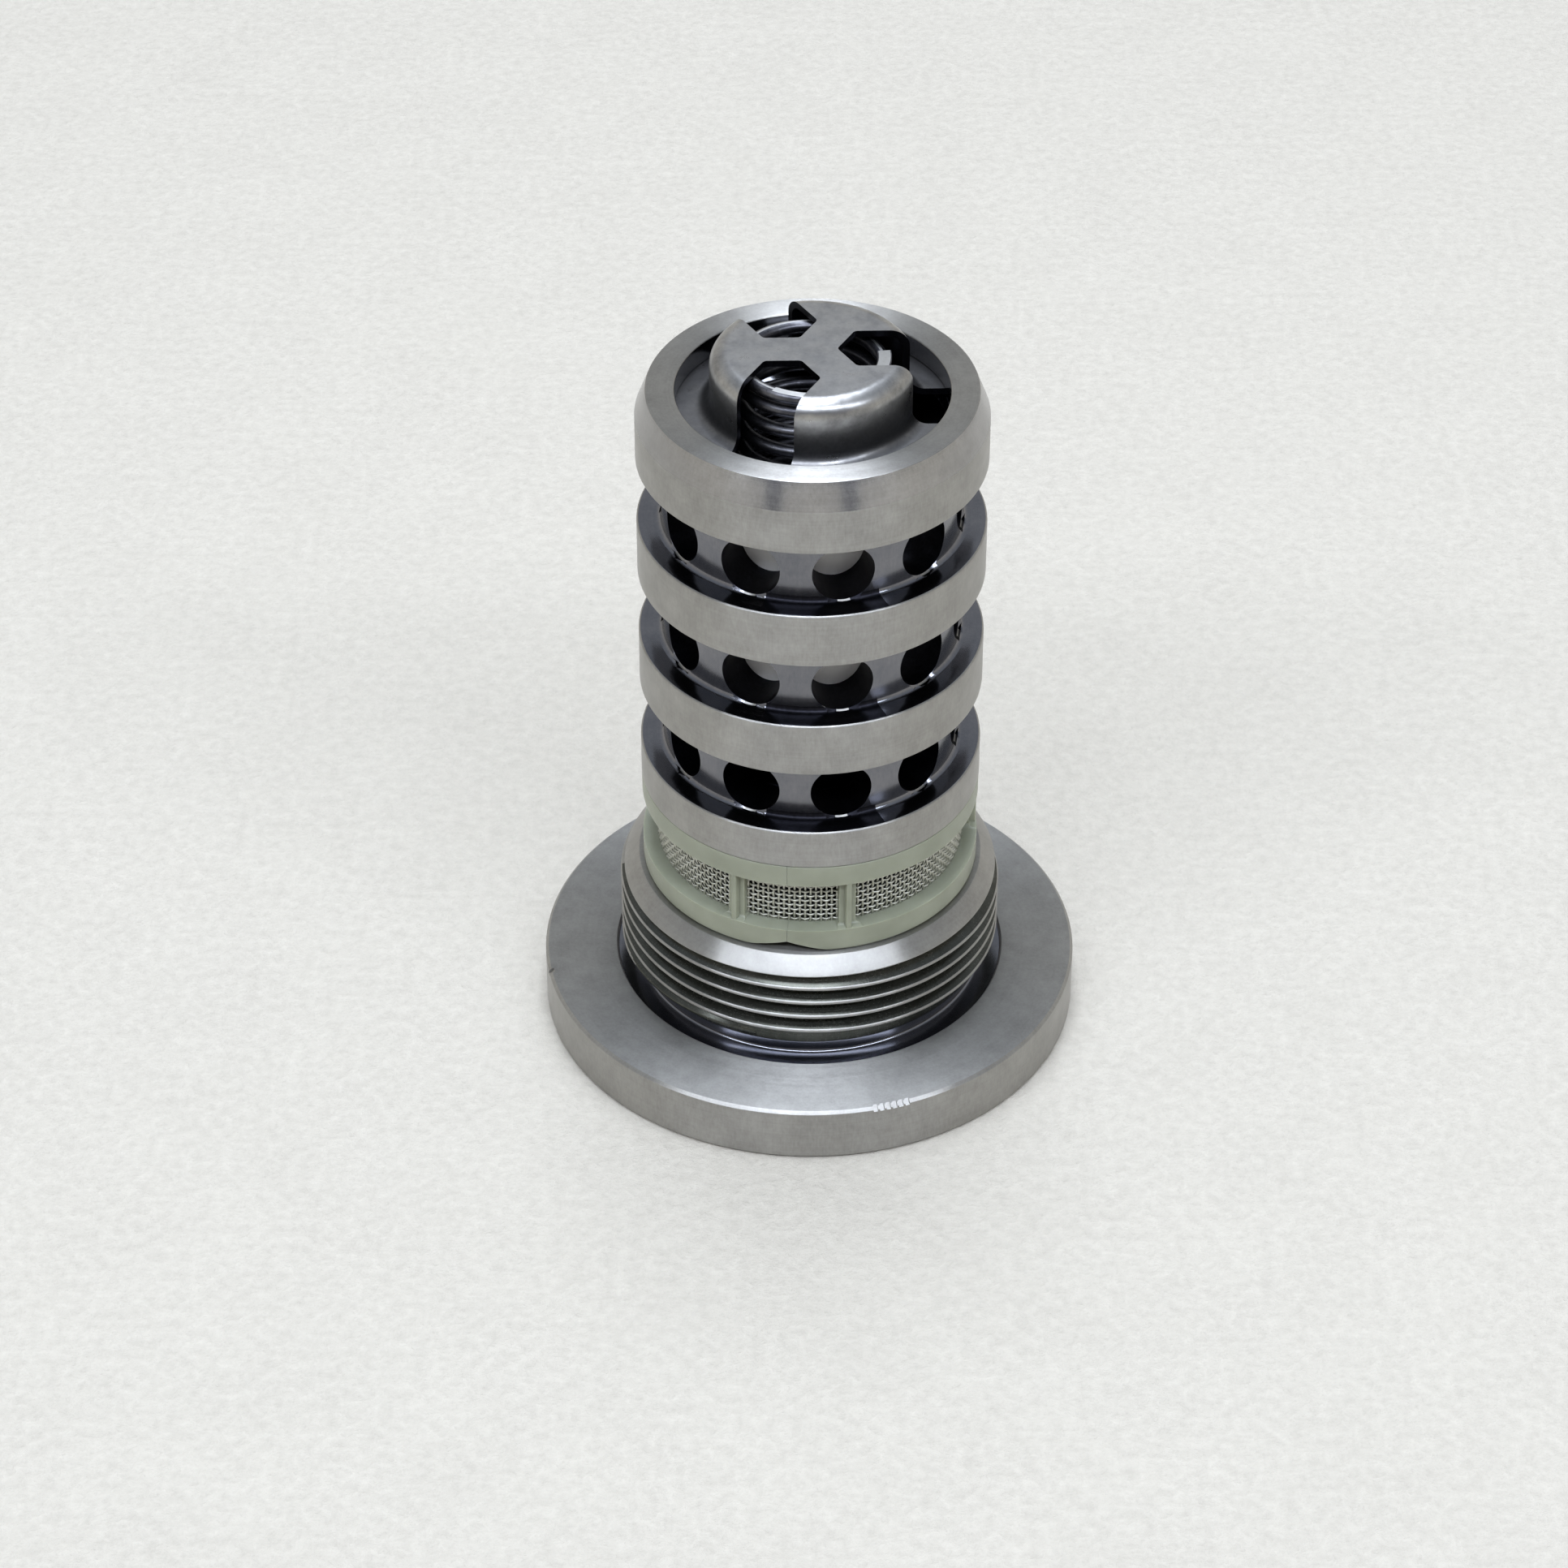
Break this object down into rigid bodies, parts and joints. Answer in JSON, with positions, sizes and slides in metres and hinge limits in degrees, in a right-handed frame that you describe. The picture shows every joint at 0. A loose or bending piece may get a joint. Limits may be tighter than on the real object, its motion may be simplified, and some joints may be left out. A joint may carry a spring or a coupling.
{
  "type": "oil control valve bolt for a camshaft adjuster",
  "caption": "Flanged left-hand bolt with a sliding spring-loaded spool, ringed oil ports, a moulded mesh filter strip and a slotted snap-in spring cap; it meters oil to a camshaft adjuster.",
  "frame": {"origin": "centre of the flange's outer face", "axes": "+Z runs along the bolt's axis, from the flange to the spring cap. A port centre in each groove is 12.2 degrees anticlockwise from -Y. +X completes the right-handed frame."},
  "size_m": [0.045, 0.045, 0.0645],
  "materials": {
    "turned_steel": "fine turned, with bright chamfers",
    "pressed_steel": "smooth pressed sheet",
    "spring_steel": "drawn wire",
    "hardened_steel": "ground and hardened",
    "spool_metal": "ground",
    "filter_plastic": "moulded, slightly translucent",
    "filter_wire": "plain-woven wire"
  },
  "bodies": {
    "housing": {"valve_housing": "turned_steel", "filter_frame": "filter_plastic", "filter_mesh": "filter_wire", "spring_cap": "pressed_steel", "return_spring": "spring_steel", "stop_washer": "pressed_steel", "retaining_ring": "spring_steel"},
    "spool": {"spool": "spool_metal", "push_plug": "hardened_steel", "gallery_plug": "hardened_steel", "check_seat": "hardened_steel", "check_cage": "pressed_steel", "check_spring": "spring_steel"},
    "ball": {"check_ball": "hardened_steel"}
  },
  "joints": [
    {"name": "spool_slide", "type": "slide", "parent": "housing", "child": "spool", "axis": [0, 0, 1], "range_m": [0, 0.0032], "stiffness_N_per_m": 1800, "springref_m": -0.004, "deforming": ["return_spring"]},
    {"name": "check_lift", "type": "slide", "parent": "spool", "child": "ball", "axis": [0, 0, 1], "range_m": [0, 0.0012], "stiffness_N_per_m": 60, "springref_m": -0.0005, "deforming": ["check_spring"]}
  ]
}
